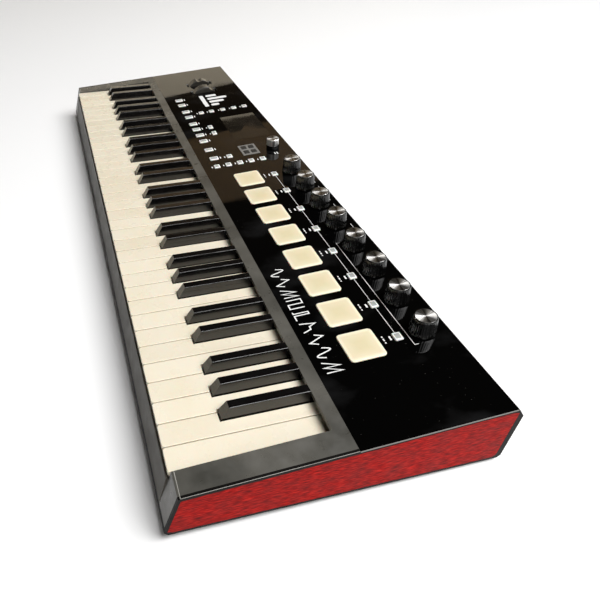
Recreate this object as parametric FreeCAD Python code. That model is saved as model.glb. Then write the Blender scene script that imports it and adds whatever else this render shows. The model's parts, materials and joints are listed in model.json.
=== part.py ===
import FreeCAD, Part
import math
import os

os.makedirs("parts", exist_ok=True)
V = FreeCAD.Vector

# Driving dimensions, in millimetres. Design frame: X along the keyboard with treble at +X and 0 at mid
# length, Y to the rear with 0 at the white keys' front edge, Z up with 0 at the surface it stands on.
octave = 165.0                       # standard piano octave
white_pitch = octave / 7
white_count = 36
black_pattern = {0: -2.3, 1: 2.3, 3: -3.4, 4: 0.0, 5: 3.4}   # white index in octave: black key's shift
single_keys = 9                      # keys at the treble end that are pieces of their own
keys_half = white_count * white_pitch / 2
half_length = keys_half + 25.5
foot_height = 3.0
key_top = 52.0                       # height of the white keys' top
key_gap = 0.9
white_thick = 6.0
head_length = 51.0                   # white key's wide front part
black_rise = 11.5
black_base = 11.6
black_crown = 8.6
black_slope = 7.5
black_rear = 130.4
key_rear = 186.0
lip_bottom = 34.0
pivot_y = 178.0
pivot_z = 40.0
rod_radius = 2.0
running = 0.05                       # radial clearance of every running fit

panel_y = 144.4                      # front edge of the control panel
panel_depth = 136.2
panel_tilt = math.radians(3.2)
panel_rise = 9.6                     # panel's front edge above the key tops
panel_thick = 2.0
strip_y = 131.8                      # front edge of the strip behind the keys
case_rear = 287.5
cheek_front = 2.5
toe_front = -10.5                    # front edge at the foot of the sloped front face
toe_height = 11.0
under_front = 7.4                    # height of the underside at the toe; it falls to foot_height at the rear
wall = 2.5
cap_thick = 2.8
inset_depth = 1.4
tray_rim = 15.0                      # top of the black lower case at the front
rail_top = 46.0

board_h = -7.6                       # heights measured from the panel's top face, along its normal
board_thick = 1.6
cap_bottom_h = -4.6
pad_size = (36.4, 34.7)
pad_corner = 3.8
pad_x0 = 345.3                       # the treble pad, counted in x
pad_pitch = 48.0
pad_v = 50.8
pad_rise = 0.9
switch_v = 86.7
knob_v = 111.4
knob_height = 18.6
knob_top_radius = 10.9
knob_base_radius = 12.9
dial_place = (-66.5, 110.8)
dial_radius = 9.0
dial_height = 15.0
button_rise = 1.1
wheel_radius = 24.0
wheel_width = 15.0
wheel_h = -15.0
wheel_v = 74.0
pitch_x = -371.0
mod_x = -333.0
lcd_box = (-204.0, -113.5, 68.0, 124.0)       # x and v limits of the display window
keypad_box = (-91.0, -58.5, 64.5, 89.5)

# Buttons as (x, v, x size, v size)
column_buttons = [(x, 21.8, 9.0, 12.5) for x in (-304.5, -281.0, -249.5, -226.0, -196.0, -173.5, -150.5,
                                                  -127.5, -95.5, -65.5)]
page_buttons = [(-174.0, 44.5, 11.0, 7.0), (-150.0, 44.5, 11.0, 7.0)]
upper_row = [(-236.0, v, 8.0, 8.0) for v in (45.0, 62.5, 82.0, 101.0, 119.5)]
lower_row = [(-40.0, v, 9.0, 8.0) for v in (19.5, 36.2, 53.2, 69.8, 86.7)] + [(-64.5, 44.5, 9.0, 8.0)]
switch_row = [(pad_x0 - pad_pitch * i, switch_v, 9.5, 8.0) for i in range(8)]
keypad_keys = [(x, v, 9.0, 7.5) for x in (-82.5, -67.5) for v in (71.5, 82.5)]
button_groups = {"column_buttons": column_buttons, "page_buttons": page_buttons,
                 "upper_row_buttons": upper_row, "lower_row_buttons": lower_row,
                 "switch_buttons": switch_row, "keypad_buttons": keypad_keys}

mid_y = (toe_front + case_rear) / 2


def save(name, shape):
    moved = shape.copy()
    moved.translate(V(0, -mid_y, 0))
    moved.exportStep("parts/" + name + ".step")
    print(name, len(moved.Solids), round(moved.Volume), moved.isValid())


def block(x0, x1, y0, y1, z0, z1):
    return Part.makeBox(x1 - x0, y1 - y0, z1 - z0, V(x0, y0, z0))


def prism(points, x0, x1):
    """Extrudes a (y, z) outline along X."""
    corners = [V(x0, y, z) for y, z in points]
    return Part.Face(Part.makePolygon(corners + corners[:1])).extrude(V(x1 - x0, 0, 0))


def rod(radius, x0, x1, y, z):
    return Part.makeCylinder(radius, x1 - x0, V(x0, y, z), V(1, 0, 0))


def joined(shapes):
    return shapes[0].multiFuse(shapes[1:]).removeSplitter() if len(shapes) > 1 else shapes[0]


def group(shapes):
    return Part.makeCompound(shapes)


def to_panel(shape):
    """Moves a shape drawn with x, v, h (h = 0 on the panel's top face) to its place on the case."""
    placed = shape.copy()
    placed.rotate(V(0, 0, 0), V(1, 0, 0), math.degrees(panel_tilt))
    placed.translate(V(0, panel_y, key_top + panel_rise))
    return placed


def top_z(y):
    return key_top + panel_rise + (y - panel_y) * math.tan(panel_tilt)


def front_y(z):
    """Outer surface of the sloped front face at a height."""
    top = top_z(cheek_front)
    return toe_front + (cheek_front - toe_front) * (z - toe_height) / (top - toe_height)


panel_rear = panel_y + panel_depth * math.cos(panel_tilt)


def under_z(y):
    """Height of the underside."""
    return under_front + (foot_height - under_front) * (y - toe_front) / (case_rear - toe_front)


def side_outline(inset, rear_inset):
    """Case profile from the side, drawn in by an inset, as (y, z) points from the front top, clockwise."""
    drop = inset / math.cos(panel_tilt)
    z_front = top_z(cheek_front) - drop
    rear = case_rear - rear_inset
    heel = toe_front + 3.5 + inset
    return [(front_y(z_front) + inset, z_front), (toe_front + inset, toe_height + inset * 0.3),
            (heel, under_z(heel) + inset), (rear - 3, under_z(rear - 3) + inset),
            (rear, under_z(rear) + 3 + inset), (rear, top_z(case_rear) - 10 + min(rear_inset, 5)),
            (panel_rear - rear_inset * 0.6, top_z(panel_rear) - drop)]


def white_key(index):
    """One white key, with notches beside its black neighbours. Index 0 is the lowest C."""
    x0 = -keys_half + index * white_pitch + key_gap / 2
    x1 = x0 + white_pitch - key_gap
    mid = (x0 + x1) / 2
    plate = block(x0, x1, 0, key_rear, key_top - white_thick, key_top)
    corners = [e for e in plate.Edges if abs(e.CenterOfMass.y) < 0.01
               and abs(e.CenterOfMass.z - key_top + 3) < 0.1]
    plate = plate.makeFillet(2.4, corners)
    rim = [e for e in plate.Edges if e.CenterOfMass.z > key_top - 0.01 and e.CenterOfMass.y < 1.7]
    plate = plate.makeFillet(0.7, rim)
    slot = black_base / 2 + 1.2
    for side in (index - 1, index):
        if side % 7 in black_pattern and 0 <= side < white_count - 1:
            centre = -keys_half + (side + 1) * white_pitch + black_pattern[side % 7]
            plate = plate.cut(block(centre - slot, centre + slot, head_length, 200, 0, 99))
    lip = block(x0 + 1.5, x1 - 1.5, 0.4, 3, lip_bottom, key_top - white_thick)
    hub = block(mid - 4.2, mid + 4.2, pivot_y - 12, key_rear, pivot_z - 6, key_top - white_thick)
    return joined([plate, lip, hub]).cut(rod(rod_radius + running, x0 - 1, x1 + 1, pivot_y, pivot_z))


def black_key(index):
    """One black key, over the boundary to the right of a white index: sloped front, tapered sides."""
    x = -keys_half + (index + 1) * white_pitch + black_pattern[index % 7]
    base = key_top - 0.4
    crown = key_top + black_rise
    front = head_length + 1.2

    def loop(half, y0, y1, z):
        points = [V(x - half, y0, z), V(x + half, y0, z), V(x + half, y1, z), V(x - half, y1, z)]
        return Part.makePolygon(points + points[:1])
    body = Part.makeLoft([loop(black_base / 2, front, black_rear, base),
                          loop(black_crown / 2, front + black_slope, black_rear, crown)], True, True)
    edges = [e for e in body.Edges if e.CenterOfMass.z > crown - 0.01 and e.CenterOfMass.y < black_rear - 1]
    body = body.makeFillet(0.7, edges)
    stem = block(x - 3.6, x + 3.6, front + 1, key_rear, key_top - white_thick, base)
    hub = block(x - 3.6, x + 3.6, pivot_y - 12, key_rear, pivot_z - 6, key_top - white_thick)
    return joined([body, stem, hub]).cut(rod(rod_radius + running, x - 9, x + 9, pivot_y, pivot_z))


def build_keys():
    order = []                       # every key from the treble end down, as (kind, white index)
    for index in reversed(range(white_count)):
        order.append(("white", index))
        if (index - 1) % 7 in black_pattern and index >= 1:
            order.append(("black", index - 1))
    makers = {"white": white_key, "black": black_key}
    for number, (kind, index) in enumerate(order[:single_keys]):
        save(f"{kind}_key_{len(order) - number}", makers[kind](index))
    for kind in makers:
        save(kind + "_keys", group([makers[kind](i) for k, i in order[single_keys:] if k == kind]))


def build_keybed():
    free = [i for i in range(white_count - 1) if i % 7 not in black_pattern]
    ends = keys_half + 1.5
    plate = joined([block(-ends, ends, 9, key_rear + 4, 19, 21), block(-keys_half, keys_half, 0, 9, 19, 21)])
    feet = [block(s * 380 - 15, s * 380 + 15, y, y + 12, under_z(y) + wall, 19) for s in (-1, 0, 1)
            for y in (10, 90, 176)]
    posts = [block(x - 3.4, x + 3.4, pivot_y - 7, pivot_y + 7, 21, pivot_z + 5)
             for x in [-keys_half + (i + 1) * white_pitch for i in free]]
    posts += [block(s * ends - 1, s * ends + 1, pivot_y - 7, pivot_y + 7, 19, pivot_z + 5) for s in (-1, 1)]
    frame = joined([plate] + feet + posts)
    save("keybed_chassis", frame.cut(rod(rod_radius, -ends - 2, ends + 2, pivot_y, pivot_z)))
    save("key_pivot_rod", rod(rod_radius, -ends, ends, pivot_y, pivot_z))
    save("key_felt", block(-keys_half, keys_half, 0.2, 7, 21, 24))
    board = block(-keys_half, keys_half, 70, 130, 25, 25 + board_thick)
    spacers = [block(x - 4, x + 4, 98, 106, 21, 25) for x in range(-400, 401, 100)]
    domes = [block(-keys_half + (i + 0.5) * white_pitch - 4, -keys_half + (i + 0.5) * white_pitch + 4,
                   92, 112, 25 + board_thick, 36) for i in range(white_count)]
    save("key_contact_board", joined([board] + spacers))
    save("key_dome_strips", group(domes))


def build_case():
    length = half_length - cap_thick
    shell = prism(side_outline(0, 0), -length, length)
    tray = shell.common(block(-999, 999, -99, 999, 0, 46))
    inner_front, inner_rear = front_y(20) + wall + 3, case_rear - wall
    hollow = prism([(inner_front, under_z(inner_front) + wall), (inner_rear, under_z(inner_rear) + wall),
                    (inner_rear, 99), (inner_front, 99)], -length + wall, length - wall)
    tray = tray.cut(hollow)
    front_cut = block(-999, 999, -99, 262, tray_rim, 99)
    tray = tray.cut(front_cut)
    shelf = block(usb_x - 10, usb_x + 10, 272, inner_rear + 1, socket_z + 7.3, socket_z + 9.3)
    tray = tray.fuse(shelf).removeSplitter()      # the shelf holds the USB socket down
    for cutter in socket_cutters():
        tray = tray.cut(cutter)
    save("bottom_case", tray)

    # top case: cheeks, the strip behind the keys, a ledge under the panel and the upper walls
    upper = shell.cut(block(-999, 999, -99, 262, 0, tray_rim)).cut(block(-999, 999, 262, 999, 0, 46))
    well = block(-keys_half - 0.5, keys_half + 0.5, -99, strip_y, 0, 99)
    inner_walls = [block(s * (keys_half + 3) - 1.1, s * (keys_half + 3) + 1.1, 8, strip_y, tray_rim,
                         top_z(8) - 1) for s in (-1, 1)]
    rebate = to_panel(block(-999, 999, 0, panel_depth + 0.2, -panel_thick, 20))
    window = to_panel(block(-length + 9, length - 9, 8, panel_depth - 8, -30, 20))
    roof = cheek_front + 5
    ceiling = prism([(roof, top_z(roof) - wall), (panel_y + 8, top_z(panel_y + 8) - 4.5),
                     (inner_rear - 6, top_z(case_rear - 10) - 4.5), (inner_rear, top_z(case_rear) - 14),
                     (inner_rear, 0), (roof, 0)], -length + wall, length - wall)
    upper = upper.cut(ceiling).cut(well).cut(rebate).cut(window)
    save("top_case", joined([upper] + inner_walls))

    rail = prism([(-0.5, tray_rim), (front_y(tray_rim), tray_rim), (-1.9, rail_top),
                  (-0.5, rail_top)], -keys_half - 0.4, keys_half + 0.4)
    save("front_rail", rail)

    for side, x in (("left", -half_length), ("right", half_length - cap_thick)):
        outer = x if side == "left" else half_length - inset_depth
        cap = prism(side_outline(0, 0), x, x + cap_thick).cut(rebate)
        inset = prism(side_outline(2.8, 5.5), outer, outer + inset_depth)
        save("end_cap_" + side, cap.cut(inset))
        save("side_panel_" + side, prism(side_outline(2.9, 5.6), outer, outer + inset_depth))


def rounded_slab(x, v, sx, sv, h0, h1, radius):
    slab = block(x - sx / 2, x + sx / 2, v - sv / 2, v + sv / 2, h0, h1)
    upright = [e for e in slab.Edges if abs(e.CenterOfMass.z - (h0 + h1) / 2) < 0.01]
    return slab.makeFillet(radius, upright)


def all_buttons():
    return [b for group_items in button_groups.values() for b in group_items]


def knob_places():
    return [(pad_x0 - pad_pitch * i, knob_v) for i in range(8)]


def wheel_slots():
    return [block(x - wheel_width / 2 - 1, x + wheel_width / 2 + 1, wheel_v - 23, wheel_v + 23, -9, 9)
            for x in (pitch_x, mod_x)]


def build_panel():
    length = half_length - 0.4
    sheet = block(-length, length, 0.1, panel_depth, -panel_thick, 0)
    holes = [rounded_slab(x, v, sx + 0.8, sv + 0.8, -9, 9, 1.2) for x, v, sx, sv in all_buttons()
             if (x, v, sx, sv) not in keypad_keys]
    holes += [rounded_slab(pad_x0 - pad_pitch * i, pad_v, pad_size[0] + 0.8, pad_size[1] + 0.8, -9, 9,
                           pad_corner + 0.4)
              for i in range(8)]
    holes += [Part.makeCylinder(4.0, 20, V(x, v, -10)) for x, v in knob_places() + [dial_place]]
    x0, x1, v0, v1 = keypad_box
    holes.append(block(x0 - 0.2, x1 + 0.2, v0 - 0.2, v1 + 0.2, -9, 9))
    sheet = sheet.cut(Part.makeCompound(holes + wheel_slots()))
    save("control_panel", to_panel(sheet))

    frame = block(x0, x1, v0, v1, -panel_thick, 0.4)
    for x, v, sx, sv in keypad_keys:
        frame = frame.cut(rounded_slab(x, v, sx + 0.6, sv + 0.6, -9, 9, 1.2))
    save("keypad_frame", to_panel(frame))

    board = block(-245, 385, 14, 126, board_h, board_h + board_thick)
    board = board.cut(block(-330, -310, 0, 200, -20, 20))
    for x, v in knob_places() + [dial_place]:
        board = board.cut(Part.makeCylinder(4.0, 20, V(x, v, -18)))
    save("panel_board", to_panel(board))
    x0, x1, v0, v1 = lcd_box
    screen = block(x0 - 3, x1 + 3, v0 - 3, v1 + 3, board_h + board_thick, -panel_thick - 0.1)
    save("display_module", to_panel(screen))
    bodies = []
    for x, v in knob_places() + [dial_place]:
        body = block(x - 6.5, x + 6.5, v - 6.5, v + 6.5, board_h - 7, board_h)
        bodies.append(to_panel(body.cut(Part.makeCylinder(3.0 + running, 20, V(x, v, board_h - 5)))))
    save("encoder_bodies", group(bodies))


def knob(x, v):
    """Tapered cap with a knurled look cut as shallow flutes, and the shaft that turns with it."""
    skirt = Part.makeCylinder(knob_base_radius, 2.4, V(x, v, 0.8))
    grip = Part.makeCone(knob_base_radius - 0.8, knob_top_radius, knob_height - 3.2, V(x, v, 3.2))
    flutes = []
    for i in range(18):
        a = math.radians(20 * i)
        r = knob_base_radius + 0.35
        centre = V(x + r * math.cos(a), v + r * math.sin(a), 3.6)
        flutes.append(Part.makeCylinder(1.1, knob_height - 5, centre))
    grip = grip.cut(Part.makeCompound(flutes))
    shaft = Part.makeCylinder(3.0, 13.0, V(x, v, board_h - 4.6))
    return joined([skirt, grip, shaft])


def build_controls():
    for i, (x, v) in enumerate(reversed(knob_places())):
        save(f"knob_{i + 1}", to_panel(knob(x, v)))
    x, v = dial_place
    dial = joined([Part.makeCylinder(dial_radius, dial_height - 0.8, V(x, v, 0.8)),
                   Part.makeCylinder(3.0, 13.0, V(x, v, board_h - 4.6))])
    rim = [e for e in dial.Edges if e.CenterOfMass.z > dial_height - 0.01]
    save("data_dial", to_panel(dial.makeChamfer(0.7, rim)))
    for i in range(8):
        x = pad_x0 - pad_pitch * (7 - i)
        pad = rounded_slab(x, pad_v, pad_size[0], pad_size[1], cap_bottom_h, pad_rise, pad_corner)
        rim = [e for e in pad.Edges if e.CenterOfMass.z > pad_rise - 0.01]
        save(f"pad_{i + 1}", to_panel(pad.makeFillet(0.6, rim)))
    for name, items in button_groups.items():
        caps = []
        for x, v, sx, sv in items:
            cap = rounded_slab(x, v, sx, sv, cap_bottom_h, button_rise, 0.8)
            rim = [e for e in cap.Edges if e.CenterOfMass.z > button_rise - 0.01]
            caps.append(to_panel(cap.makeFillet(0.3, rim)))
        save(name, group(caps))


def wheel(x):
    """Control wheel with a finger notch, bored to run on its spindle. Drawn with h = 0 at the panel."""
    body = rod(wheel_radius, x - wheel_width / 2, x + wheel_width / 2, wheel_v, wheel_h)
    edges = [e for e in body.Edges if e.Curve.TypeId == "Part::GeomCircle"]
    body = body.makeFillet(1.2, edges)
    notch_angle = 0.0 if x == pitch_x else -32.0
    a = math.radians(90 - notch_angle)
    r = wheel_radius + 5.0
    notch = rod(8.0, x - wheel_width, x + wheel_width, wheel_v - r * math.cos(a), wheel_h + r * math.sin(a))
    return body.cut(notch).cut(rod(2.5 + running, x - 20, x + 20, wheel_v, wheel_h))


def build_wheels():
    save("pitch_wheel", to_panel(wheel(pitch_x)))
    save("mod_wheel", to_panel(wheel(mod_x)))
    plates = [block(x - 1, x + 1, wheel_v - 12, wheel_v + 12, wheel_h - 8, -panel_thick)
              for x in (pitch_x - 11, (pitch_x + mod_x) / 2, mod_x + 11)]
    spindle = rod(2.5, pitch_x - 12, mod_x + 12, wheel_v, wheel_h)
    save("wheel_bracket", to_panel(joined(plates + [spindle])))


# Rear sockets as (kind, x): seen from behind
socket_z = 26.0
jack_xs = (180.0, 205.0, 230.0)
midi_xs = (110.0, 140.0)
usb_x = 70.0
inlet_x = 20.0
switch_x = -15.0
jack_radius = 3.25
midi_radius = 7.6
inlet_radius = 2.9


def hole_y(radius, x, y0, y1):
    return Part.makeCylinder(radius, y1 - y0, V(x, y0, socket_z), V(0, 1, 0))


def socket_cutters():
    cutters = [hole_y(4.9, x, 280, 300) for x in jack_xs]
    cutters += [hole_y(midi_radius + 1.6, x, 280, 300) for x in midi_xs]
    cutters.append(block(usb_x - 7.6, usb_x + 7.6, 280, 300, socket_z - 7, socket_z + 7))
    cutters.append(hole_y(inlet_radius + 2.1, inlet_x, 280, 300))
    cutters.append(block(switch_x - 10.5, switch_x + 10.5, 280, 300, socket_z - 7, socket_z + 7))
    return cutters


def build_rear():
    y1 = case_rear
    back = y1 - wall - 0.2           # the housings end against the case wall
    sockets = []
    for x in jack_xs:
        body = joined([hole_y(4.8, x, y1 - 20, y1), block(x - 7, x + 7, y1 - 20, back, 18, 34)])
        sockets.append(body.cut(hole_y(jack_radius, x, y1 - 16, y1 + 5)))
    for x in midi_xs:
        body = joined([hole_y(midi_radius + 1.5, x, y1 - 14, y1),
                       block(x - 10, x + 10, y1 - 14, back, 16, 36)])
        sockets.append(body.cut(hole_y(midi_radius, x, y1 - 10, y1 + 5)))
    usb = block(usb_x - 7.5, usb_x + 7.5, y1 - 18, y1, socket_z - 6.9, socket_z + 6.9)
    sockets.append(usb.cut(block(usb_x - 6, usb_x + 6, y1 - 12, y1 + 5, socket_z - 5.5, socket_z + 5.5)))
    inlet = joined([hole_y(inlet_radius + 2, inlet_x, y1 - 14, y1),
                    block(inlet_x - 6, inlet_x + 6, y1 - 14, back, 19, 33)])
    sockets.append(inlet.cut(hole_y(inlet_radius, inlet_x, y1 - 11, y1 + 5)))
    save("rear_sockets", group(sockets))

    frame = block(switch_x - 10.4, switch_x + 10.4, y1 - 14, y1, socket_z - 6.9, socket_z + 6.9)
    frame = frame.cut(block(switch_x - 8.5, switch_x + 8.5, y1 - 12, y1 + 5, socket_z - 5.4, socket_z + 5.4))
    pin = Part.makeCylinder(1.0, 13.0, V(switch_x, y1 - 6, socket_z - 6.4), V(0, 0, 1))
    save("power_switch_frame", joined([frame, pin]))
    rocker = block(switch_x - 7.6, switch_x + 7.6, y1 - 9, y1 - 0.9, socket_z - 5.2, socket_z + 5.2)
    crest = Part.makeCylinder(18, 10.4, V(switch_x, y1 - 6 - 14.2 + 1.2, socket_z - 5.2), V(0, 0, 1))
    rocker = rocker.common(crest)
    save("power_rocker", rocker.cut(Part.makeCylinder(1.0 + running, 20, V(switch_x, y1 - 6, socket_z - 10))))

    board = block(-60, 260, 200, 268, 12, 12 + board_thick)
    posts = [block(x - 4, x + 4, y - 4, y + 4, under_z(y - 4) + wall, 12)
             for x in (-50, 250) for y in (206, 262)]
    chips = [block(x - 9, x + 9, 222, 240, 12 + board_thick, 16) for x in (0, 60, 150)]
    save("main_board", joined([board] + posts + chips))


def build_small():
    case = prism(side_outline(0, 0), -half_length, half_length)
    feet = [Part.makeCone(8.0, 9.0, under_z(y) + 1, V(x, y, 0)).cut(case)
            for x in (-400, 0, 400) for y in (22, 262)]
    save("rubber_feet", group(feet))
    screws = []
    for x in (-430, -290, -150, 150, 290, 430):
        for y in (40, 270):
            low = under_z(y) - 1.2
            head = Part.makeCylinder(2.8, 1.8, V(x, y, low)).cut(case)
            screws.append(head.cut(Part.makeCylinder(1.2, 0.8, V(x, y, low))))
    save("case_screws", group(screws))


build_keys()
build_keybed()
build_case()
build_panel()
build_controls()
build_wheels()
build_rear()
build_small()
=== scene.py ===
import json
import math

import bpy
from mathutils import Matrix, Vector


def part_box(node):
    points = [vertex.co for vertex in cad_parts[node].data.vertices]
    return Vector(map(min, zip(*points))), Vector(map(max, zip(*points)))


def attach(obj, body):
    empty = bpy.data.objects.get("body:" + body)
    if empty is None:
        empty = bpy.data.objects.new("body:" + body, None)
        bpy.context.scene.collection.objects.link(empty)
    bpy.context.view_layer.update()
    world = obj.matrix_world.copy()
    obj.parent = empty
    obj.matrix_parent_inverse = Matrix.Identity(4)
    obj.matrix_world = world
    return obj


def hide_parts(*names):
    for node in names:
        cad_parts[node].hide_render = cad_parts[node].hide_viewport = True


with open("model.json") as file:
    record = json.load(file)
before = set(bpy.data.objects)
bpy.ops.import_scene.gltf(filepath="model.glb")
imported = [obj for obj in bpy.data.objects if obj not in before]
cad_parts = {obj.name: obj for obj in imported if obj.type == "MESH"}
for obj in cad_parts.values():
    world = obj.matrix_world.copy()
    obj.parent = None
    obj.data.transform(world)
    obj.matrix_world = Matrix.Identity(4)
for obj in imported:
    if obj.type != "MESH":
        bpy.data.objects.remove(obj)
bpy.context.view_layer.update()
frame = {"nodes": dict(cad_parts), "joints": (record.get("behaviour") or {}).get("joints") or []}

mm = 0.001
nodes = frame["nodes"]
joints = {joint["name"]: joint for joint in frame["joints"]}
print("frame loaded:", len(nodes), "nodes")

# The control panel leans back a little. x runs along the keyboard, v up the panel, h out of its top face.
panelLow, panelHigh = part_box("control_panel")
panel = {"tilt": math.radians(3.2), "depth": 136.2 * mm, "front": 0.1 * mm}
panel["originZ"] = panelHigh[2] - panel["depth"] * math.sin(panel["tilt"])
panel["originY"] = panelLow[1] - panel["front"] * math.cos(panel["tilt"])
panelMatrix = Matrix.Translation((0, panel["originY"], panel["originZ"]))
panelMatrix = panelMatrix @ Matrix.Rotation(panel["tilt"], 4, "X")


# x, v and h in metres of a point given in the model's own frame.
def panelPlace(point):
    return panelMatrix.inverted() @ Vector(point)


def srgb(hexText):
    parts = [int(hexText[i:i + 2], 16) / 255 for i in (1, 3, 5)]
    return tuple(p / 12.92 if p <= 0.04045 else ((p + 0.055) / 1.055) ** 2.4 for p in parts) + (1.0,)


def addNode(tree, kind, settings=None, links=None):
    node = tree.nodes.new(kind)
    for key, value in (settings or {}).items():
        if isinstance(key, int) or key[0].isupper():
            node.inputs[key].default_value = value
        else:
            setattr(node, key, value)
    for key, socket in (links or {}).items():
        tree.links.new(socket, node.inputs[key])
    return node


def newMaterial(name, shader):
    material = bpy.data.materials.new(name)
    material.use_nodes = True
    tree = material.node_tree
    tree.nodes.clear()
    surface = addNode(tree, "ShaderNodeBsdfPrincipled", shader)
    addNode(tree, "ShaderNodeOutputMaterial", {}, {"Surface": surface.outputs[0]})
    coords = addNode(tree, "ShaderNodeTexCoord").outputs["Object"]
    return material, tree, surface, coords


# Noise whose grains are about sizeMm across.
def noiseOf(tree, coords, sizeMm, detail=3.0, stretch=(1, 1, 1)):
    scaled = addNode(tree, "ShaderNodeMapping", {"Scale": stretch}, {"Vector": coords})
    return addNode(tree, "ShaderNodeTexNoise", {"Scale": 1 / (sizeMm * mm), "Detail": detail},
                   {"Vector": scaled.outputs[0]}).outputs["Fac"]


def ramp(tree, factor, stops):
    node = addNode(tree, "ShaderNodeValToRGB", {}, {"Fac": factor})
    while len(node.color_ramp.elements) < len(stops):
        node.color_ramp.elements.new(0.5)
    for element, (place, value) in zip(node.color_ramp.elements, stops):
        element.position = place
        element.color = srgb(value) if isinstance(value, str) else (value, value, value, 1.0)
    return node.outputs["Color"]


# Drives a shader's socket by a factor through a colour ramp.
def drive(tree, surface, socketName, factor, stops):
    tree.links.new(ramp(tree, factor, stops), surface.inputs[socketName])


def bumpOf(tree, surface, height, distanceMm, strength=1.0):
    bump = addNode(tree, "ShaderNodeBump", {"Strength": strength, "Distance": distanceMm * mm},
                   {"Height": height})
    tree.links.new(bump.outputs[0], surface.inputs["Normal"])


# Injection-moulded ABS: a spark-eroded grain, and hand marks that change its gloss.
def mouldedPlastic(name, dark, light, rough, grainMm, bumpMm, smudge=0.1, gloss=0.5):
    material, tree, surface, coords = newMaterial(name, {"IOR": 1.53, "Specular IOR Level": gloss})
    cloud = noiseOf(tree, coords, 45, 4)
    drive(tree, surface, "Base Color", cloud, [(0.3, dark), (0.7, light)])
    marks = noiseOf(tree, coords, 14, 5)
    drive(tree, surface, "Roughness", marks, [(0.35, rough), (0.7, rough - smudge)])
    bumpOf(tree, surface, noiseOf(tree, coords, grainMm, 2), bumpMm, 0.6)
    return material


# White key tops: moulded acrylic, smooth, with a faint difference from key to key.
def ivoryAcrylic():
    material, tree, surface, coords = newMaterial("ivory_acrylic", {
        "IOR": 1.49, "Coat Weight": 0.15, "Subsurface Weight": 0.08, "Subsurface Scale": 2 * mm})
    split = addNode(tree, "ShaderNodeSeparateXYZ", {}, {0: coords})
    keyCount = addNode(tree, "ShaderNodeMath", {"operation": "MULTIPLY", 1: 1 / (165 / 7 * mm)},
                       {0: split.outputs[0]})
    keyNumber = addNode(tree, "ShaderNodeMath", {"operation": "FLOOR"}, {0: keyCount.outputs[0]})
    perKey = addNode(tree, "ShaderNodeTexWhiteNoise", {"noise_dimensions": "1D"}, {"W": keyNumber.outputs[0]})
    tone = ramp(tree, perKey.outputs["Value"], [(0.0, "#DFD6C3"), (1.0, "#E6DECC")])
    handling = ramp(tree, noiseOf(tree, coords, 30, 4), [(0.3, "#FCFAF4"), (0.8, "#FFFFFF")])
    mixed = addNode(tree, "ShaderNodeMix", {"data_type": "RGBA", "blend_type": "MULTIPLY", 0: 1.0},
                    {6: tone, 7: handling})
    tree.links.new(mixed.outputs[2], surface.inputs["Base Color"])
    drive(tree, surface, "Roughness", noiseOf(tree, coords, 18, 5), [(0.3, 0.34), (0.75, 0.22)])
    bumpOf(tree, surface, noiseOf(tree, coords, 6, 2), 0.02, 0.4)
    return material


# Black key caps: glossy moulded resin, a little duller where fingers rub.
def blackKeyResin():
    material, tree, surface, coords = newMaterial("black_key_resin", {
        "IOR": 1.5, "Coat Weight": 0.7, "Coat Roughness": 0.03})
    drive(tree, surface, "Base Color", noiseOf(tree, coords, 20, 3), [(0.3, "#070606"), (0.8, "#0E0D0D")])
    drive(tree, surface, "Roughness", noiseOf(tree, coords, 9, 5), [(0.3, 0.24), (0.75, 0.12)])
    bumpOf(tree, surface, noiseOf(tree, coords, 0.8, 2), 0.01, 0.5)
    return material


# The panel: back-painted cast acrylic, a dark mirror with wiped smudges, specks of dust and frosted
# saw-cut edges.
def polishedAcrylic():
    material, tree, surface, coords = newMaterial("polished_black_acrylic", {"IOR": 1.49})
    dust = ramp(tree, noiseOf(tree, coords, 1.1, 0), [(0.86, 0.0), (0.9, 1.0)])
    smears = ramp(tree, noiseOf(tree, coords, 60, 6, (1, 0.7, 1)), [(0.54, 0.0), (0.76, 0.5)])
    film = addNode(tree, "ShaderNodeMix", {"data_type": "RGBA", 6: srgb("#030303"), 7: srgb("#2A2A2B")},
                   {0: smears})
    specked = addNode(tree, "ShaderNodeMix", {"data_type": "RGBA", 7: srgb("#4A4945")},
                      {0: dust, 6: film.outputs[2]})
    facing = addNode(tree, "ShaderNodeNewGeometry").outputs["Normal"]
    facingUp = addNode(tree, "ShaderNodeSeparateXYZ", {}, {0: facing}).outputs["Z"]
    cutEdge = addNode(tree, "ShaderNodeMath", {"operation": "LESS_THAN", 1: 0.5}, {0: facingUp})
    base = addNode(tree, "ShaderNodeMix", {"data_type": "RGBA", 7: srgb("#7D7C78")},
                   {0: cutEdge.outputs[0], 6: specked.outputs[2]})
    tree.links.new(base.outputs[2], surface.inputs["Base Color"])
    wiped = ramp(tree, noiseOf(tree, coords, 26, 5, (1, 0.45, 1)), [(0.5, 0.02), (0.8, 0.09)])
    rough = addNode(tree, "ShaderNodeMath", {"operation": "MAXIMUM"}, {0: wiped})
    halfCut = addNode(tree, "ShaderNodeMath", {"operation": "MULTIPLY", 1: 0.5}, {0: cutEdge.outputs[0]})
    tree.links.new(halfCut.outputs[0], rough.inputs[1])
    tree.links.new(rough.outputs[0], surface.inputs["Roughness"])
    return material


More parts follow.
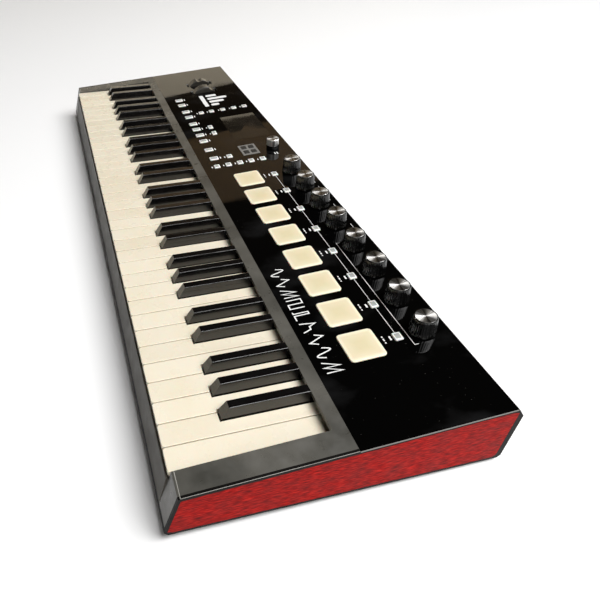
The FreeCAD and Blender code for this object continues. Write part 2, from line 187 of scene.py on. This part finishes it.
# End panel: red-lacquered aluminium skin, brushed from front to back, with short fibrous streaks.
def brushedRed():
    material, tree, surface, coords = newMaterial("brushed_red_lacquer", {
        "Metallic": 0.2, "IOR": 1.5, "Specular IOR Level": 0.03})
    streak = noiseOf(tree, coords, 1.1, 6, (1, 0.14, 1))
    cloud = noiseOf(tree, coords, 9, 5, (1, 0.5, 1))
    fine = ramp(tree, streak, [(0.34, "#650604"), (0.5, "#980D09"), (0.66, "#BE2219")])
    patchy = ramp(tree, cloud, [(0.3, "#D6D2D0"), (0.65, "#FFFFFF")])
    mixed = addNode(tree, "ShaderNodeMix", {"data_type": "RGBA", "blend_type": "MULTIPLY", 0: 1.0},
                    {6: fine, 7: patchy})
    tree.links.new(mixed.outputs[2], surface.inputs["Base Color"])
    drive(tree, surface, "Roughness", cloud, [(0.3, 0.42), (0.7, 0.55)])
    bumpOf(tree, surface, streak, 0.03, 0.4)
    return material


# Pads: cream silicone over a diffuser, paler towards the rim: a painted highlight where the rounded rim
# catches the light.
def padSilicone():
    material, tree, surface, coords = newMaterial("pad_silicone_cream", {
        "IOR": 1.41, "Subsurface Weight": 0.2, "Subsurface Scale": 3 * mm})
    split = addNode(tree, "ShaderNodeSeparateXYZ", {}, {0: coords})
    across = addNode(tree, "ShaderNodeMath", {"operation": "ABSOLUTE"}, {0: split.outputs[0]})
    along = addNode(tree, "ShaderNodeMath", {"operation": "ABSOLUTE"}, {0: split.outputs[1]})
    edge = addNode(tree, "ShaderNodeMath", {"operation": "SMOOTH_MAX", 2: 3 * mm},
                   {0: across.outputs[0], 1: along.outputs[0]})
    share = addNode(tree, "ShaderNodeMath", {"operation": "MULTIPLY", 1: 1 / (18 * mm)}, {0: edge.outputs[0]})
    # painted highlight: the colour grows paler from the middle towards the rim
    drive(tree, surface, "Base Color", share.outputs[0],
          [(0.25, "#D6CAA6"), (0.75, "#DED2B3"), (0.95, "#F0E8CF")])
    drive(tree, surface, "Roughness", noiseOf(tree, coords, 5, 4), [(0.3, 0.36), (0.7, 0.46)])
    bumpOf(tree, surface, noiseOf(tree, coords, 0.5, 1), 0.01, 0.4)
    return material


# Satin paint loaded with aluminium flake.
def silverPaint():
    material, tree, surface, coords = newMaterial("satin_silver_paint", {"Metallic": 0.3, "IOR": 1.5})
    drive(tree, surface, "Base Color", noiseOf(tree, coords, 0.6, 3), [(0.3, "#7C7B78"), (0.7, "#93928E")])
    drive(tree, surface, "Roughness", noiseOf(tree, coords, 6, 3), [(0.3, 0.38), (0.7, 0.5)])
    return material


# Moulded silicone that lets a lamp behind it through: soft gloss, light bleeding at the edges.
def translucentSilicone(name, low, high, rough, glow):
    material, tree, surface, coords = newMaterial(name, {
        "IOR": 1.41, "Subsurface Weight": glow, "Subsurface Scale": 3 * mm, "Sheen Weight": 0.1})
    drive(tree, surface, "Base Color", noiseOf(tree, coords, 8, 3), [(0.3, low), (0.7, high)])
    drive(tree, surface, "Roughness", noiseOf(tree, coords, 5, 4), [(0.3, rough), (0.7, rough + 0.1)])
    bumpOf(tree, surface, noiseOf(tree, coords, 0.5, 1), 0.01, 0.4)
    return material


# Knob tops: faced on a lathe, so the grooves are rings; the light and dark fan from the middle is a painted
# highlight.
def turnedAluminium():
    material, tree, surface, coords = newMaterial("turned_aluminium", {"Metallic": 1.0, "Anisotropic": 0.85})
    split = addNode(tree, "ShaderNodeSeparateXYZ", {}, {0: coords})
    flat = addNode(tree, "ShaderNodeCombineXYZ", {}, {0: split.outputs[0], 1: split.outputs[1]})
    radius = addNode(tree, "ShaderNodeVectorMath", {"operation": "LENGTH"}, {0: flat.outputs[0]})
    rings = addNode(tree, "ShaderNodeTexNoise",
                    {"noise_dimensions": "1D", "Scale": 1 / (0.25 * mm), "Detail": 2.0},
                    {"W": radius.outputs["Value"]})
    angle = addNode(tree, "ShaderNodeMath", {"operation": "ARCTAN2"},
                    {0: split.outputs[1], 1: split.outputs[0]})
    # painted highlight: light and dark sectors round the centre, painted into the base colour
    paintedHighlightFan = addNode(tree, "ShaderNodeTexNoise", {"noise_dimensions": "1D", "Scale": 1.9, "Detail": 2.0},
                  {"W": angle.outputs[0]})
    drive(tree, surface, "Base Color", paintedHighlightFan.outputs["Fac"],
          [(0.35, "#8A8884"), (0.5, "#DAD8D4"), (0.66, "#FFFFFF")])
    drive(tree, surface, "Roughness", rings.outputs["Fac"], [(0.3, 0.34), (0.7, 0.5)])
    tangent = addNode(tree, "ShaderNodeTangent", {"direction_type": "RADIAL", "axis": "Z"})
    tree.links.new(tangent.outputs[0], surface.inputs["Tangent"])
    bumpOf(tree, surface, rings.outputs["Fac"], 0.01, 0.5)
    return material


# Plated or painted sheet metal with a fine grain.
def metalSheet(name, dark, light, rough, grainMm):
    material, tree, surface, coords = newMaterial(name, {"Metallic": 1.0})
    drive(tree, surface, "Base Color", noiseOf(tree, coords, grainMm, 4), [(0.3, dark), (0.7, light)])
    drive(tree, surface, "Roughness", noiseOf(tree, coords, grainMm * 3, 4),
          [(0.3, rough), (0.7, rough + 0.12)])
    return material


# Felt: matted wool, all sheen and no gloss.
def woolFelt():
    material, tree, surface, coords = newMaterial("wool_felt", {"Sheen Weight": 0.6, "Roughness": 0.95})
    fibre = noiseOf(tree, coords, 0.6, 6)
    drive(tree, surface, "Base Color", fibre, [(0.3, "#4A0F12"), (0.7, "#7A1A1E")])
    bumpOf(tree, surface, fibre, 0.3)
    return material


# Circuit board: green lacquer over copper tracks, drawn wider than real ones so that they show.
def solderMask():
    material, tree, surface, coords = newMaterial("solder_mask", {"Roughness": 0.3, "IOR": 1.55})
    tracks = addNode(tree, "ShaderNodeTexVoronoi", {"distance": "MANHATTAN", "Scale": 1 / (6 * mm)},
                     {"Vector": coords})
    drive(tree, surface, "Base Color", tracks.outputs["Distance"], [(0.30, "#0E4A22"), (0.36, "#1B6B35")])
    return material


# Screen-printed white ink: matt, very slightly uneven.
def printedInk():
    material, tree, surface, coords = newMaterial("screen_print_white", {"Roughness": 0.6})
    drive(tree, surface, "Base Color", noiseOf(tree, coords, 1.5, 2), [(0.3, "#DCDCDA"), (0.7, "#F2F2F0")])
    return material


# Display window: an unlit liquid-crystal panel behind the acrylic, a shade lighter than the panel.
def unlitDisplay():
    material, tree, surface, coords = newMaterial("unlit_display", {"IOR": 1.5})
    drive(tree, surface, "Base Color", noiseOf(tree, coords, 60, 1), [(0.3, "#14120F"), (0.7, "#1A1814")])
    drive(tree, surface, "Roughness", noiseOf(tree, coords, 25, 3), [(0.4, 0.06), (0.7, 0.14)])
    return material


finish = {
    "caseGrey": mouldedPlastic("moulded_abs_grey", "#3C3B36", "#5C5A54", 0.42, 0.7, 0.03, 0.2, 0.7),
    "railGrey": mouldedPlastic("moulded_abs_mid_grey", "#3E3B34", "#57544D", 0.5, 0.7, 0.03, 0.1, 0.2),
    "caseBlack": mouldedPlastic("moulded_abs_black", "#0C0B0A", "#141211", 0.5, 0.8, 0.02, 0.1, 0.06),
    "ivory": ivoryAcrylic(),
    "blackKey": blackKeyResin(),
    "acrylic": polishedAcrylic(),
    "red": brushedRed(),
    "pad": padSilicone(),
    "button": translucentSilicone("button_silicone_white", "#F0EFEA", "#FAF9F5", 0.4, 0.15),
    "buttonCentre": translucentSilicone("button_centre_grey", "#A5A4A1", "#B6B5B1", 0.35, 0.1),
    "knob": mouldedPlastic("knob_black_abs", "#050505", "#0A0A09", 0.12, 0.5, 0.002, 0.03, 0.6),
    "aluminium": turnedAluminium(),
    "silver": silverPaint(),
    "darkRubber": mouldedPlastic("dark_silicone", "#1E1D1C", "#2A2927", 0.6, 0.6, 0.02),
    "wheel": mouldedPlastic("gloss_wheel_grey", "#2C2A26", "#3D3A35", 0.22, 0.6, 0.01, 0.08),
    "steel": metalSheet("zinc_plated_steel", "#8D8C87", "#B9B8B0", 0.32, 4.0),
    "felt": woolFelt(),
    "board": solderMask(),
    "dome": mouldedPlastic("moulded_silicone_grey", "#55565A", "#65666A", 0.6, 0.8, 0.02),
    "foot": mouldedPlastic("foot_rubber", "#0F0F0F", "#1A1A19", 0.8, 1.0, 0.05),
    "nylon": mouldedPlastic("socket_nylon", "#0D0D0E", "#151516", 0.4, 0.8, 0.02),
    # painted highlight: a pale plastic for the lit lines along the cheeks' edges
    "paintedEdgeHighlight": mouldedPlastic("moulded_abs_painted_highlight", "#7C7A74", "#B5B3AC", 0.5, 1.2, 0.02),
    "ink": printedInk(),
    "display": unlitDisplay(),
}

nodeFinish = {
    "bottom_case": "caseBlack", "top_case": "caseGrey", "front_rail": "railGrey", "control_panel": "acrylic",
    "keybed_chassis": "steel", "key_pivot_rod": "steel", "key_felt": "felt", "key_contact_board": "board",
    "key_dome_strips": "dome", "keypad_frame": "silver", "panel_board": "board", "main_board": "board",
    "display_module": "display", "encoder_bodies": "nylon", "data_dial": "aluminium",
    "keypad_buttons": "darkRubber", "pitch_wheel": "wheel", "mod_wheel": "wheel", "wheel_bracket": "steel",
    "rear_sockets": "nylon", "power_switch_frame": "nylon", "power_rocker": "knob", "rubber_feet": "foot",
    "case_screws": "steel",
}
prefixFinish = {"white_key": "ivory", "black_key": "blackKey", "knob_": "knob", "pad_": "pad",
                "end_cap": "caseBlack", "side_panel": "red"}
for nodeName, node in nodes.items():
    chosen = nodeFinish.get(nodeName)
    for prefix, value in prefixFinish.items():
        if nodeName.startswith(prefix):
            chosen = value
    node.data.materials.clear()
    node.data.materials.append(finish[chosen or "button"])
print("materials:", len(finish))


# Points of a rounded rectangle about the origin, anticlockwise.
def roundedOutline(sizeX, sizeV, radius, steps=6):
    points = []
    for corner, (sx, sv) in enumerate(((1, 1), (-1, 1), (-1, -1), (1, -1))):
        cx, cv = sx * (sizeX / 2 - radius), sv * (sizeV / 2 - radius)
        for step in range(steps + 1):
            a = math.pi / 2 * (corner + step / steps)
            points.append((cx + radius * math.cos(a), cv + radius * math.sin(a)))
    return points


# Closed solid of rounded rectangles, one for each (inset, height) from the bottom up.
def stackedSlab(x, v, sizeX, sizeV, radius, profile, steps=6):
    verts, faces = [], []
    for inset, h in profile:
        outline = roundedOutline(sizeX - 2 * inset, sizeV - 2 * inset, max(radius - inset, 0.05 * mm), steps)
        verts += [(x + px, v + pv, h) for px, pv in outline]
    count = 4 * (steps + 1)
    for ring in range(len(profile) - 1):
        for i in range(count):
            j = (i + 1) % count
            a, b = ring * count, (ring + 1) * count
            faces.append((a + i, a + j, b + j, b + i))
    faces.append(tuple(reversed(range(count))))
    faces.append(tuple(range((len(profile) - 1) * count, len(profile) * count)))
    return verts, faces


# Thin printed line: a mitred strip along (x, v) points, as a closed solid.
def ribbon(points, width, low, high):
    count = len(points)
    sides = []
    for i, (px, pv) in enumerate(points):
        before = points[max(i - 1, 0)]
        after = points[min(i + 1, count - 1)]
        toward = [Vector((px - before[0], pv - before[1])), Vector((after[0] - px, after[1] - pv))]
        toward = [t.normalized() for t in toward if t.length > 1e-9]
        normals = [Vector((-t.y, t.x)) for t in toward]
        mitre = sum(normals, Vector((0, 0))).normalized()
        reach = width / 2 / max(mitre.dot(normals[0]), 0.35)
        sides.append((px + mitre.x * reach, pv + mitre.y * reach, px - mitre.x * reach, pv - mitre.y * reach))
    verts, faces = [], []
    for ax, av, bx, bv in sides:
        verts += [(ax, av, low), (bx, bv, low), (bx, bv, high), (ax, av, high)]
    for i in range(count - 1):
        a, b = 4 * i, 4 * (i + 1)
        faces += [(a + k, a + (k + 1) % 4, b + (k + 1) % 4, b + k) for k in range(4)]
    last = 4 * (count - 1)
    faces += [(3, 2, 1, 0), (last, last + 1, last + 2, last + 3)]
    return verts, faces


# Solid of revolution about Z from (radius, height) pairs; wave(angle, row) changes a radius.
def turned(profile, sides, wave=None):
    verts, faces = [], []
    for row, (radius, height) in enumerate(profile):
        for i in range(sides):
            a = 2 * math.pi * i / sides
            r = radius + (wave(a, row) if wave else 0)
            verts.append((r * math.cos(a), r * math.sin(a), height))
    for row in range(len(profile) - 1):
        for i in range(sides):
            j = (i + 1) % sides
            a, b = row * sides, (row + 1) * sides
            faces.append((a + i, a + j, b + j, b + i))
    faces.append(tuple(reversed(range(sides))))
    faces.append(tuple(range((len(profile) - 1) * sides, len(profile) * sides)))
    return verts, faces


def combined(shapes):
    verts, faces = [], []
    for shapeVerts, shapeFaces in shapes:
        start = len(verts)
        verts += shapeVerts
        faces += [tuple(start + i for i in face) for face in shapeFaces]
    return verts, faces


# One visible piece on a body. Its points are in metres, placed by a matrix.
def addPiece(name, shape, material, body, matrix=None, smoothAngle=35, stands=()):
    mesh = bpy.data.meshes.new(name)
    mesh.from_pydata(shape[0], [], shape[1])
    mesh.validate()
    mesh.materials.append(finish[material])
    mesh.shade_smooth()
    mesh.set_sharp_from_angle(angle=math.radians(smoothAngle))
    piece = bpy.data.objects.new(name, mesh)
    bpy.context.scene.collection.objects.link(piece)
    if matrix is not None:
        piece.matrix_world = matrix
    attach(piece, body)
    if stands:
        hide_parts(*stands)
    return piece


def jointCentre(jointName):
    return panelPlace(joints[jointName]["pos_m"])


knobLook = {"base": 12.7, "top": 10.9, "height": 18.6, "foot": 0.8, "ribs": 30, "ribDepth": 0.3,
            "disc": 9.7, "recess": 0.35, "shaft": 3.0, "shaftEnd": -12.2}


def knobShape():
    look = {key: value * mm for key, value in knobLook.items()}
    foot, height = look["foot"], look["height"]
    lean = (look["base"] - look["top"]) / (height - foot)
    body = [(look["shaft"], look["shaftEnd"]), (look["shaft"], foot), (look["base"] - 0.4 * mm, foot),
            (look["base"], foot + 0.4 * mm)]
    body += [(look["base"] - lean * (h * mm - foot), h * mm) for h in (2.6, 3.0, 6, 9, 12, 15, 17.0)]
    body += [(look["top"] + 0.0, height - 0.7 * mm), (look["top"] - 0.35 * mm, height - 0.12 * mm),
             (look["top"] - 0.8 * mm, height), (look["disc"] + 0.1 * mm, height),
             (look["disc"] + 0.05 * mm, height - look["recess"])]
    ribbed = range(5, 12)

    def wave(angle, row):
        if row not in ribbed:
            return 0
        groove = max(0.0, math.cos(angle * knobLook["ribs"])) ** 0.7
        return -look["ribDepth"] * groove
    return turned(body, knobLook["ribs"] * 8, wave)


def discShape():
    r, height = knobLook["disc"] * mm, knobLook["height"] * mm
    top = height - 0.02 * mm
    profile = [(r, height - 0.6 * mm), (r, top - 0.25 * mm), (r - 0.25 * mm, top)]
    profile += [(r * part, top) for part in (0.75, 0.5, 0.25, 0.04)]
    return turned(profile, 96)


def makeKnobs():
    body, disc = knobShape(), discShape()
    for number in range(1, 9):
        name = f"knob_{number}"
        centre = jointCentre(name + "_turn")
        place = panelMatrix @ Matrix.Translation((centre.x, centre.y, 0))
        addPiece(name + "_grip", body, "knob", name, place, 40, (name,))
        addPiece(name + "_disc", disc, "aluminium", name, place)
        mark = ribbon([(0, -knobLook["disc"] * mm), (0, -knobLook["top"] * mm + 0.3 * mm)], 0.9 * mm,
                      knobLook["height"] * mm - 0.05 * mm, knobLook["height"] * mm)
        addPiece(name + "_mark", mark, "ink", name, place)
    print("knobs done")


dialLook = {"radius": 9.0, "height": 15.0, "collar": 5.8, "ribs": 36, "ribDepth": 0.12,
            "dish": ((0.7, 0.1), (0.45, 0.25), (0.05, 0.3))}     # share of the radius, depth of the hollow


def makeDial():
    centre = jointCentre("data_dial_turn")
    place = panelMatrix @ Matrix.Translation((centre.x, centre.y, 0))
    r, top, collar = (dialLook[key] * mm for key in ("radius", "height", "collar"))
    side = [(3 * mm, -12.2 * mm), (3 * mm, 0.8 * mm), (r - 0.2 * mm, 0.8 * mm), (r, 1.0 * mm), (r, collar),
            (r - 0.5 * mm, collar + 0.2 * mm)]

    def wave(angle, row):
        return dialLook["ribDepth"] * mm * math.cos(dialLook["ribs"] * angle) * (row in (3, 4))
    addPiece("data_dial_collar", turned(side, 4 * dialLook["ribs"], wave), "knob", "data_dial",
             place, 40, ("data_dial",))
    cap = [(r - 0.6 * mm, collar), (r - 0.3 * mm, collar + 0.3 * mm), (r - 0.3 * mm, top - 0.8 * mm),
           (r - 1.0 * mm, top)]
    cap += [(r * share, top - dip * mm) for share, dip in dialLook["dish"]]
    addPiece("data_dial_cap", turned(cap, 96), "aluminium", "data_dial", place)
    print("dial done")


padLook = {"corner": 3.8, "rise": 0.9, "depth": 5.5}


def makePads():
    for number in range(1, 9):
        name = f"pad_{number}"
        low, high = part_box(name)
        centre = panelPlace((Vector(low) + Vector(high)) / 2)
        sizeX = high[0] - low[0]
        sizeV = (high[1] - low[1] - padLook["depth"] * mm * math.sin(panel["tilt"])) / math.cos(panel["tilt"])
        top = padLook["rise"] * mm
        profile = [(0.0, top - padLook["depth"] * mm), (0.0, top - 0.9 * mm), (0.05 * mm, top - 0.55 * mm),
                   (0.25 * mm, top - 0.3 * mm), (0.6 * mm, top - 0.17 * mm), (1.4 * mm, top - 0.12 * mm),
                   (4 * mm, top - 0.05 * mm), (9 * mm, top)]
        shape = stackedSlab(0, 0, sizeX, sizeV, padLook["corner"] * mm, profile, 8)
        place = panelMatrix @ Matrix.Translation((centre.x, centre.y, 0))
        addPiece(name + "_skin", shape, "pad", name, place, 50, (name,))
    print("pads done")


makeKnobs()
makeDial()
makePads()


inkLook = {"height": 0.05, "line": 0.55}


# Places and sizes (x, v, size x, size v) of the loose caps in a node of buttons.
def islandsOf(nodeName):
    mesh = nodes[nodeName].data
    mesh.calc_loop_triangles()
    group = list(range(len(mesh.vertices)))

    def root(i):
        while group[i] != i:
            group[i] = group[group[i]]
            i = group[i]
        return i
    places = {}
    for vertex in mesh.vertices:
        key = tuple(round(c * 1e5) for c in vertex.co)
        group[root(vertex.index)] = root(places.setdefault(key, vertex.index))
    for edge in mesh.edges:
        group[root(edge.vertices[0])] = root(edge.vertices[1])
    members = {}
    for vertex in mesh.vertices:
        members.setdefault(root(vertex.index), []).append(panelPlace(vertex.co))
    found = []
    for points in members.values():
        xs, vs = [p.x for p in points], [p.y for p in points]
        found.append(((min(xs) + max(xs)) / 2, (min(vs) + max(vs)) / 2, max(xs) - min(xs), max(vs) - min(vs)))
    return sorted(found)


def inkBar(x, v, sizeX, sizeV):
    h = inkLook["height"] * mm
    return stackedSlab(x, v, sizeX, sizeV, min(sizeX, sizeV) * 0.3, [(0, 0), (0, h)], 3)


def inkLine(points, width=None):
    return ribbon([(x * mm, v * mm) for x, v in points], (width or inkLook["line"]) * mm, 0,
                  inkLook["height"] * mm)


# A synthesizer waveform as a line of points, drawn from its lower left corner, in millimetres.
def waveIcon(kind, x, v, size):
    if kind == "sine":
        line = [(i / 24, 0.5 + 0.5 * math.sin(2 * math.pi * i / 24)) for i in range(25)]
    elif kind == "triangle":
        line = [(0, 0.5), (0.25, 1), (0.75, 0), (1, 0.5)]
    elif kind == "saw":
        line = [(0, 0), (0.5, 1), (0.5, 0), (1, 1), (1, 0)]
    elif kind == "square":
        line = [(0, 0), (0, 1), (0.5, 1), (0.5, 0), (1, 0), (1, 1)]
    elif kind == "pulse":
        line = [(0, 0), (0.2, 0), (0.2, 1), (0.45, 1), (0.45, 0), (1, 0)]
    else:
        line = [(0, 0), (0.2, 1), (0.45, 0.55), (0.75, 0.55), (1, 0)]
    return [(x + px * size * 0.85, v + pv * size) for px, pv in line]


# Marks printed on the panel, in millimetres. A tick is (gap to the cap, width, height); a negative gap
# puts it in front of the cap.
printLook = {
    "ticks": {"switch_buttons": (-3.2, 5.2, 1.7), "column_buttons": (3.2, 6, 1.6),
              "lower_row_buttons": (-3, 4.5, 1.5), "upper_row_buttons": (-3, 4.5, 1.5),
              "page_buttons": (-2.6, 4, 1.3)},
    "lineGap": 0.6,                                       # between the line and a switch cap
    "bracket": {"drop": 15.2, "end": 4, "bass": 12, "treble": 14},
    "brokenLine": {"rise": 17, "start": 4, "stop": 6},
    "padTicks": ((-3.6, 2.0), (0.2, 3.4), (4.2, 1.6)), "padTickRise": 22.2, "padTickHeight": 1.3,
    "icons": {"x": 213, "step": 17.8, "v": 8.0, "size": 15.0, "stroke": 1.3},
    "mark": {"x": -306, "v": 70, "step": 14, "bar": 8.5, "length": 34, "base": (-285, 62, 52, 7)},
    "dialTicks": (-2.2, 1.2), "dialTickShift": 17, "dialTick": (6.5, 1.6),
}
iconRow = ["sine", "triangle", "saw", "square", "pulse", "envelope", "triangle", "sine", "saw"]
markLevels = (0.55, 1.0, 0.75, 0.4)


def capTicks(groupName):
    gap, width, height = printLook["ticks"][groupName]
    return [inkBar(x, v + math.copysign(sizeV / 2, gap) + gap * mm, width * mm, height * mm)
            for x, v, _, sizeV in islandsOf(groupName)]


def makePrints():
    prints = []
    switches = islandsOf("switch_buttons")
    lineV, gap = switches[0][1] / mm, printLook["lineGap"]
    for (left, _, leftSize, _), (right, _, rightSize, _) in zip(switches, switches[1:]):
        prints.append(inkLine([((left + leftSize / 2) / mm + gap, lineV),
                               ((right - rightSize / 2) / mm - gap, lineV)]))
    prints += capTicks("switch_buttons")
    # a bracket in front of the four treble knobs, and a broken line behind the other four
    knobs = [jointCentre(f"knob_{n}_turn") / mm for n in range(1, 9)]
    bracket, broken = printLook["bracket"], printLook["brokenLine"]
    low, high = knobs[0].y - bracket["drop"], knobs[0].y - bracket["drop"] + bracket["end"]
    bass, treble = knobs[4].x - bracket["bass"], knobs[7].x + bracket["treble"]
    prints.append(inkLine([(bass, high), (bass, low), (treble, low), (treble, high)]))
    behind = knobs[0].y + broken["rise"]
    for first, second in zip(knobs[:4], knobs[1:5]):
        prints.append(inkLine([(first.x + broken["start"], behind), (second.x - broken["stop"], behind)]))
    for number in range(1, 9):
        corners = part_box(f"pad_{number}")
        centre = panelPlace((Vector(corners[0]) + Vector(corners[1])) / 2)
        v = centre.y + printLook["padTickRise"] * mm
        for shift, width in printLook["padTicks"]:
            prints.append(inkBar(centre.x + shift * mm, v, width * mm, printLook["padTickHeight"] * mm))
    for groupName in ("column_buttons", "lower_row_buttons", "upper_row_buttons", "page_buttons"):
        prints += capTicks(groupName)
    # a plain row of waveforms, from bass to treble
    icons = printLook["icons"]
    for index, kind in enumerate(iconRow):
        line = waveIcon(kind, icons["x"] + icons["step"] * index, icons["v"], icons["size"])
        prints.append(inkLine(line, icons["stroke"]))
    # generic mark near the wheels: level bars over a base line
    mark = printLook["mark"]
    for index, level in enumerate(markLevels):
        x, v = mark["x"] + mark["step"] * index, mark["v"] + mark["length"] / 2 * level
        prints.append(inkBar(x * mm, v * mm, mark["bar"] * mm, mark["length"] * level * mm))
    prints.append(inkBar(*(value * mm for value in mark["base"])))
    dial = jointCentre("data_dial_turn") / mm
    for shift in printLook["dialTicks"]:
        prints.append(inkBar((dial.x + printLook["dialTickShift"]) * mm, (dial.y + shift) * mm,
                             *(value * mm for value in printLook["dialTick"])))
    addPiece("panel_print", combined(prints), "ink", "case", panelMatrix)
    print("prints done")


buttonLook = {"depth": 5.7, "rise": 1.06, "corner": 0.8, "rim": 1.5, "centre": 1.09}


def makeButtons():
    bottom = (buttonLook["rise"] - buttonLook["depth"]) * mm
    top, centreTop, rim = (buttonLook[key] * mm for key in ("rise", "centre", "rim"))
    for groupName in printLook["ticks"]:
        caps, centres = [], []
        for x, v, sizeX, sizeV in islandsOf(groupName):
            profile = [(0, bottom), (0, top - 0.4 * mm), (0.1 * mm, top - 0.15 * mm), (0.35 * mm, top)]
            caps.append(stackedSlab(x, v, sizeX, sizeV, buttonLook["corner"] * mm, profile, 4))
            inner = [(0, top - 0.1 * mm), (0, centreTop - 0.02 * mm), (0.05 * mm, centreTop)]
            centres.append(stackedSlab(x, v, sizeX - 2 * rim, sizeV - 2 * rim, 0.6 * mm, inner, 3))
        addPiece(groupName + "_caps", combined(caps), "button", groupName, panelMatrix, 50,
                 (groupName,))
        addPiece(groupName + "_centres", combined(centres), "buttonCentre", groupName,
                 panelMatrix, 50)
    print("buttons done")


makePrints()
makeButtons()


# Painted light on the cheeks' outer edges: a dark strip of painted shade in the groove between cheek and end
# cap, and pale lines of painted highlight where the edges along the cap and along the front catch the light.
# the "dust" width is that of the painted highlight line along the cap edge
edgeLook = {"setBack": 13.4, "grooveShade": 0.55, "dust": 0.45, "frontHighlight": 0.5, "inset": 0.5, "keyGap": 0.6,
            "stop": -0.4}


def makeEdges():
    look = edgeLook
    capLow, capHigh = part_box("end_cap_right")
    front = panelPlace((0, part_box("top_case")[0][1] + look["setBack"] * mm, panel["originZ"])).y / mm
    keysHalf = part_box("front_rail")[1][0] / mm
    # lists for the painted shade strips and the painted highlight lines
    shadeStrips, highlightLines = [], []
    for side in (-1, 1):
        seam, outer = side * capLow[0] / mm, side * (capHigh[0] / mm - look["inset"])
        # painted shade: a dark strip where the groove between cheek and end cap lies in shade
        shadeStrips.append(inkLine([(seam, front), (seam, look["stop"])], look["grooveShade"]))
        # painted highlights along the cap edge and along the front edge
        highlightLines.append(inkLine([(outer, front), (outer, look["stop"])], look["dust"]))
        highlightLines.append(inkLine([(side * (keysHalf + look["keyGap"]), front), (outer, front)], look["frontHighlight"]))
    # the dark strips are painted shade, the pale lines painted highlight
    addPiece("cheek_painted_shade", combined(shadeStrips), "caseBlack", "case", panelMatrix)
    addPiece("cheek_painted_highlights", combined(highlightLines), "paintedEdgeHighlight", "case", panelMatrix)
    print("edges done")


makeEdges()


def makeDisplay():
    low, high = (panelPlace(corner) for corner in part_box("display_module"))
    centre = ((low.x + high.x) / 2, (low.y + high.y) / 2)
    margin = 3 * mm
    slab = stackedSlab(centre[0], centre[1], high.x - low.x - 2 * margin, abs(high.y - low.y) - 2 * margin,
                       1.0 * mm, [(0, 0.0), (0.0, 0.03 * mm), (0.1 * mm, 0.04 * mm)], 4)
    addPiece("display_window", slab, "display", "case", panelMatrix)
    print("display done")


makeDisplay()


def stagePlane(name, corners, colour, rough=0.6):
    mesh = bpy.data.meshes.new(name)
    mesh.from_pydata(corners, [], [(0, 1, 2, 3)])
    material = newMaterial(name + "_paint", {"Roughness": rough, "Base Color": srgb(colour)})[0]
    mesh.materials.append(material)
    plane = bpy.data.objects.new(name, mesh)
    bpy.context.scene.collection.objects.link(plane)
    return plane


# A card that is only seen mirrored in the panel.
def reflectionCard(name, x, span, heights, colour):
    corners = [(x, span[i], heights[j]) for i, j in ((0, 0), (1, 0), (1, 1), (0, 1))]
    card = stagePlane(name, corners, colour)
    card.visible_camera = card.visible_diffuse = card.visible_shadow = False


def softLight(name, place, target, size, power, colour="#FFFFFF"):
    data = bpy.data.lights.new(name, "AREA")
    data.shape = "RECTANGLE"
    data.size, data.size_y = size
    data.energy = power
    data.color = srgb(colour)[:3]
    light = bpy.data.objects.new(name, data)
    light.location = place
    light.rotation_euler = (Vector(target) - Vector(place)).to_track_quat("-Z", "Y").to_euler()
    bpy.context.scene.collection.objects.link(light)


reach = 9.0
stagePlane("studio_floor", [(x * reach, y * reach, 0) for x, y in ((-1, -1), (1, -1), (1, 1), (-1, 1))],
           "#F6F6F6")
# a warm wall behind the bass end, low enough that only the far end of the panel mirrors it, and a dim one
# above it
reflectionCard("studio_wall", -1.9, (-1.2, 1.6), (0, 0.64), "#D8CBB2")
reflectionCard("studio_shelf", -1.9, (-0.1, 1.3), (0.86, 1.25), "#6A4E1E")
lightLook = {"overhead": {"place": (1.3, 2.0, 3.8), "target": (0, 0, 0), "size": (3.4, 3.4), "power": 330},
             "treble_side": {"place": (2.6, -0.3, 0.9), "target": (0.3, 0, 0.05), "size": (1.4, 1.0),
                             "power": 14}}
for lightName, look in lightLook.items():
    softLight(lightName, **look)

world = bpy.data.worlds.new("studio")
bpy.context.scene.world = world
world.use_nodes = True
tree = world.node_tree
tree.nodes.clear()
seen = addNode(tree, "ShaderNodeLightPath").outputs["Is Camera Ray"]
direction = addNode(tree, "ShaderNodeTexCoord").outputs["Generated"]
height = addNode(tree, "ShaderNodeSeparateXYZ", {}, {0: direction}).outputs["Z"]
room = ramp(tree, height, [(0.2, "#4E4130"), (0.4, "#241D15"), (0.7, "#16130F")])
roomLight = addNode(tree, "ShaderNodeBackground", {"Strength": 1.0}, {"Color": room})
paleLight = addNode(tree, "ShaderNodeBackground", {"Color": srgb("#F7F7F7"), "Strength": 1.0})
blend = addNode(tree, "ShaderNodeMixShader", {}, {0: seen, 1: roomLight.outputs[0], 2: paleLight.outputs[0]})
addNode(tree, "ShaderNodeOutputWorld", {}, {"Surface": blend.outputs[0]})

cameraLook = {"place": (0.65998, -0.16416, 0.40978), "turn": (47.831, 0.535, 75.621), "lens": 32.916,
              "shift": (0.1536, 0.0503)}
cameraData = bpy.data.cameras.new("studio_camera")
cameraData.lens = cameraLook["lens"]
cameraData.sensor_width = 36
cameraData.shift_x, cameraData.shift_y = cameraLook["shift"]
camera = bpy.data.objects.new("studio_camera", cameraData)
camera.location = cameraLook["place"]
camera.rotation_euler = [math.radians(a) for a in cameraLook["turn"]]
bpy.context.scene.collection.objects.link(camera)
bpy.context.scene.camera = camera
bpy.context.scene.view_settings.view_transform = "Standard"
print("studio done")
